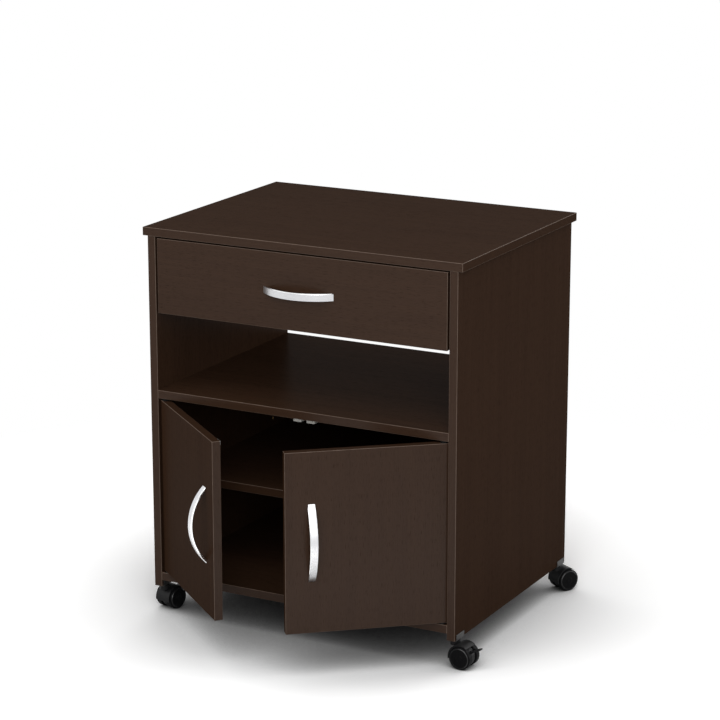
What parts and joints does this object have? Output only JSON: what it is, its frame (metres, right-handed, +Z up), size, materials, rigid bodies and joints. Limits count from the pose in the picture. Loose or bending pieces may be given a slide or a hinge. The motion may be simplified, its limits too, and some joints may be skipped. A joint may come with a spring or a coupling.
{
  "type": "microwave cart",
  "caption": "Dark laminate kitchen cart on casters with a drawer, an open shelf and a two-door cupboard with an inner shelf.",
  "frame": {"origin": "on the floor, under the middle of the cart's outline as it stands, with both doors 40 degrees open", "axes": "+Z up, -Y towards the front with the drawer and doors, +X to the right seen from the front"},
  "size_m": [0.6664, 0.6586, 0.709],
  "materials": {
    "laminate": "dark espresso wood-grain laminate, satin",
    "hardboard": "dark printed hardboard, matt",
    "satin_nickel": "satin nickel, brushed along its length",
    "zinc_steel": "zinc-plated steel",
    "dark_steel": "pressed steel, dark lacquered",
    "enamel_steel": "cream enamelled steel",
    "black_plastic": "black moulded nylon",
    "wheel_plastic": "black moulded nylon wheel",
    "white_plastic": "white moulded plastic"
  },
  "bodies": {
    "cabinet": {"adjustable_shelf": "laminate", "back_rail": "laminate", "bottom_panel": "laminate", "cabinet_runner_left": "enamel_steel", "cabinet_runner_right": "enamel_steel", "caster_bracket_front_left": "dark_steel", "caster_bracket_front_right": "dark_steel", "caster_bracket_rear_left": "dark_steel", "caster_bracket_rear_right": "dark_steel", "double_catch": "white_plastic", "fixed_shelf": "laminate", "hinge_pin_left_bottom": "dark_steel", "hinge_pin_left_top": "dark_steel", "hinge_pin_right_bottom": "dark_steel", "hinge_pin_right_top": "dark_steel", "left_side_panel": "laminate", "lower_back_panel": "hardboard", "right_side_panel": "laminate", "shelf_pin_left_back": "zinc_steel", "shelf_pin_left_front": "zinc_steel", "shelf_pin_right_back": "zinc_steel", "shelf_pin_right_front": "zinc_steel", "top_panel": "laminate"},
    "drawer": {"drawer_front": "laminate", "drawer_side_left": "laminate", "drawer_side_right": "laminate", "drawer_back": "laminate", "drawer_bottom": "hardboard", "drawer_handle": "satin_nickel", "drawer_runner_left": "enamel_steel", "drawer_runner_right": "enamel_steel"},
    "left_door": {"left_door": "laminate", "door_handle_left": "satin_nickel", "strike_plate_left": "zinc_steel", "hinge_bush_left_bottom": "black_plastic", "hinge_bush_left_top": "black_plastic"},
    "right_door": {"right_door": "laminate", "door_handle_right": "satin_nickel", "strike_plate_right": "zinc_steel", "hinge_bush_right_bottom": "black_plastic", "hinge_bush_right_top": "black_plastic"},
    "cabinet_roller_left": {"cabinet_roller_left": "white_plastic"},
    "drawer_roller_left": {"drawer_roller_left": "white_plastic"},
    "cabinet_roller_right": {"cabinet_roller_right": "white_plastic"},
    "drawer_roller_right": {"drawer_roller_right": "white_plastic"},
    "caster_front_left": {"caster_front_left_body": "black_plastic"},
    "caster_front_left_wheel_inner": {"caster_front_left_wheel_inner": "wheel_plastic"},
    "caster_front_left_wheel_outer": {"caster_front_left_wheel_outer": "wheel_plastic"},
    "caster_front_left_brake_pedal": {"caster_front_left_brake_pedal": "black_plastic"},
    "caster_front_right": {"caster_front_right_body": "black_plastic"},
    "caster_front_right_wheel_inner": {"caster_front_right_wheel_inner": "wheel_plastic"},
    "caster_front_right_wheel_outer": {"caster_front_right_wheel_outer": "wheel_plastic"},
    "caster_front_right_brake_pedal": {"caster_front_right_brake_pedal": "black_plastic"},
    "caster_rear_left": {"caster_rear_left_body": "black_plastic"},
    "caster_rear_left_wheel_inner": {"caster_rear_left_wheel_inner": "wheel_plastic"},
    "caster_rear_left_wheel_outer": {"caster_rear_left_wheel_outer": "wheel_plastic"},
    "caster_rear_right": {"caster_rear_right_body": "black_plastic"},
    "caster_rear_right_wheel_inner": {"caster_rear_right_wheel_inner": "wheel_plastic"},
    "caster_rear_right_wheel_outer": {"caster_rear_right_wheel_outer": "wheel_plastic"}
  },
  "joints": [
    {"name": "drawer_slide", "type": "slide", "parent": "cabinet", "child": "drawer", "axis": [0, -1, 0], "range_m": [0, 0.3]},
    {"name": "left_door_hinge", "type": "hinge", "parent": "cabinet", "child": "left_door", "pos_m": [-0.28313, -0.14844, 0.239], "axis": [0, 0, -1], "range_deg": [-40, 70]},
    {"name": "right_door_hinge", "type": "hinge", "parent": "cabinet", "child": "right_door", "pos_m": [0.26386, -0.14844, 0.239], "axis": [0, 0, 1], "range_deg": [-40, 70]},
    {"name": "cabinet_roller_left_spin", "type": "hinge", "parent": "cabinet", "child": "cabinet_roller_left", "pos_m": [-0.28963, -0.12594, 0.5822], "axis": [1, 0, 0], "range_deg": [0, 2000]},
    {"name": "drawer_roller_left_spin", "type": "hinge", "parent": "drawer", "child": "drawer_roller_left", "pos_m": [-0.28963, 0.24606, 0.5822], "axis": [1, 0, 0], "range_deg": [0, 2000]},
    {"name": "cabinet_roller_right_spin", "type": "hinge", "parent": "cabinet", "child": "cabinet_roller_right", "pos_m": [0.27037, -0.12594, 0.5822], "axis": [1, 0, 0], "range_deg": [0, 2000]},
    {"name": "drawer_roller_right_spin", "type": "hinge", "parent": "drawer", "child": "drawer_roller_right", "pos_m": [0.27037, 0.24606, 0.5822], "axis": [1, 0, 0], "range_deg": [0, 2000]},
    {"name": "caster_front_left_swivel", "type": "hinge", "parent": "cabinet", "child": "caster_front_left", "pos_m": [-0.30213, -0.13594, 0.0482], "axis": [0, 0, 1], "continuous": true},
    {"name": "caster_front_left_wheel_inner_spin", "type": "hinge", "parent": "caster_front_left", "child": "caster_front_left_wheel_inner", "pos_m": [-0.31132, -0.11661, 0.0205], "axis": [-0.9781, 0.2079, 0], "continuous": true},
    {"name": "caster_front_left_wheel_outer_spin", "type": "hinge", "parent": "caster_front_left", "child": "caster_front_left_wheel_outer", "pos_m": [-0.28588, -0.12202, 0.0205], "axis": [-0.9781, 0.2079, 0], "continuous": true},
    {"name": "caster_front_left_brake_pedal_press", "type": "hinge", "parent": "caster_front_left", "child": "caster_front_left_brake_pedal", "pos_m": [-0.29637, -0.10883, 0.0295], "axis": [-0.9781, 0.2079, 0], "range_deg": [0, 15]},
    {"name": "caster_front_right_swivel", "type": "hinge", "parent": "cabinet", "child": "caster_front_right", "pos_m": [0.28287, -0.13594, 0.0482], "axis": [0, 0, 1], "continuous": true},
    {"name": "caster_front_right_wheel_inner_spin", "type": "hinge", "parent": "caster_front_right", "child": "caster_front_right_wheel_inner", "pos_m": [0.30073, -0.12416, 0.0205], "axis": [0.0698, 0.9976, 0], "continuous": true},
    {"name": "caster_front_right_wheel_outer_spin", "type": "hinge", "parent": "caster_front_right", "child": "caster_front_right_wheel_outer", "pos_m": [0.29892, -0.1501, 0.0205], "axis": [0.0698, 0.9976, 0], "continuous": true},
    {"name": "caster_front_right_brake_pedal_press", "type": "hinge", "parent": "caster_front_right", "child": "caster_front_right_brake_pedal", "pos_m": [0.31052, -0.13788, 0.0295], "axis": [0.0698, 0.9976, 0], "range_deg": [0, 15]},
    {"name": "caster_rear_left_swivel", "type": "hinge", "parent": "cabinet", "child": "caster_rear_left", "pos_m": [-0.30213, 0.28806, 0.0482], "axis": [0, 0, 1], "continuous": true},
    {"name": "caster_rear_left_wheel_inner_spin", "type": "hinge", "parent": "caster_rear_left", "child": "caster_rear_left_wheel_inner", "pos_m": [-0.32055, 0.29895, 0.0205], "axis": [-0.9272, -0.3746, 0], "continuous": true},
    {"name": "caster_rear_left_wheel_outer_spin", "type": "hinge", "parent": "caster_rear_left", "child": "caster_rear_left_wheel_outer", "pos_m": [-0.29645, 0.30869, 0.0205], "axis": [-0.9272, -0.3746, 0], "continuous": true},
    {"name": "caster_rear_right_swivel", "type": "hinge", "parent": "cabinet", "child": "caster_rear_right", "pos_m": [0.28287, 0.28806, 0.0482], "axis": [0, 0, 1], "continuous": true},
    {"name": "caster_rear_right_wheel_inner_spin", "type": "hinge", "parent": "caster_rear_right", "child": "caster_rear_right_wheel_inner", "pos_m": [0.28048, 0.30932, 0.0205], "axis": [-0.8572, 0.515, 0], "continuous": true},
    {"name": "caster_rear_right_wheel_outer_spin", "type": "hinge", "parent": "caster_rear_right", "child": "caster_rear_right_wheel_outer", "pos_m": [0.30277, 0.29593, 0.0205], "axis": [-0.8572, 0.515, 0], "continuous": true}
  ],
  "couplings": [
    {"joint": "cabinet_roller_left_spin", "follows": "drawer_slide", "rad_per_m": 111.11},
    {"joint": "drawer_roller_left_spin", "follows": "drawer_slide", "rad_per_m": 111.11},
    {"joint": "cabinet_roller_right_spin", "follows": "drawer_slide", "rad_per_m": 111.11},
    {"joint": "drawer_roller_right_spin", "follows": "drawer_slide", "rad_per_m": 111.11}
  ]
}
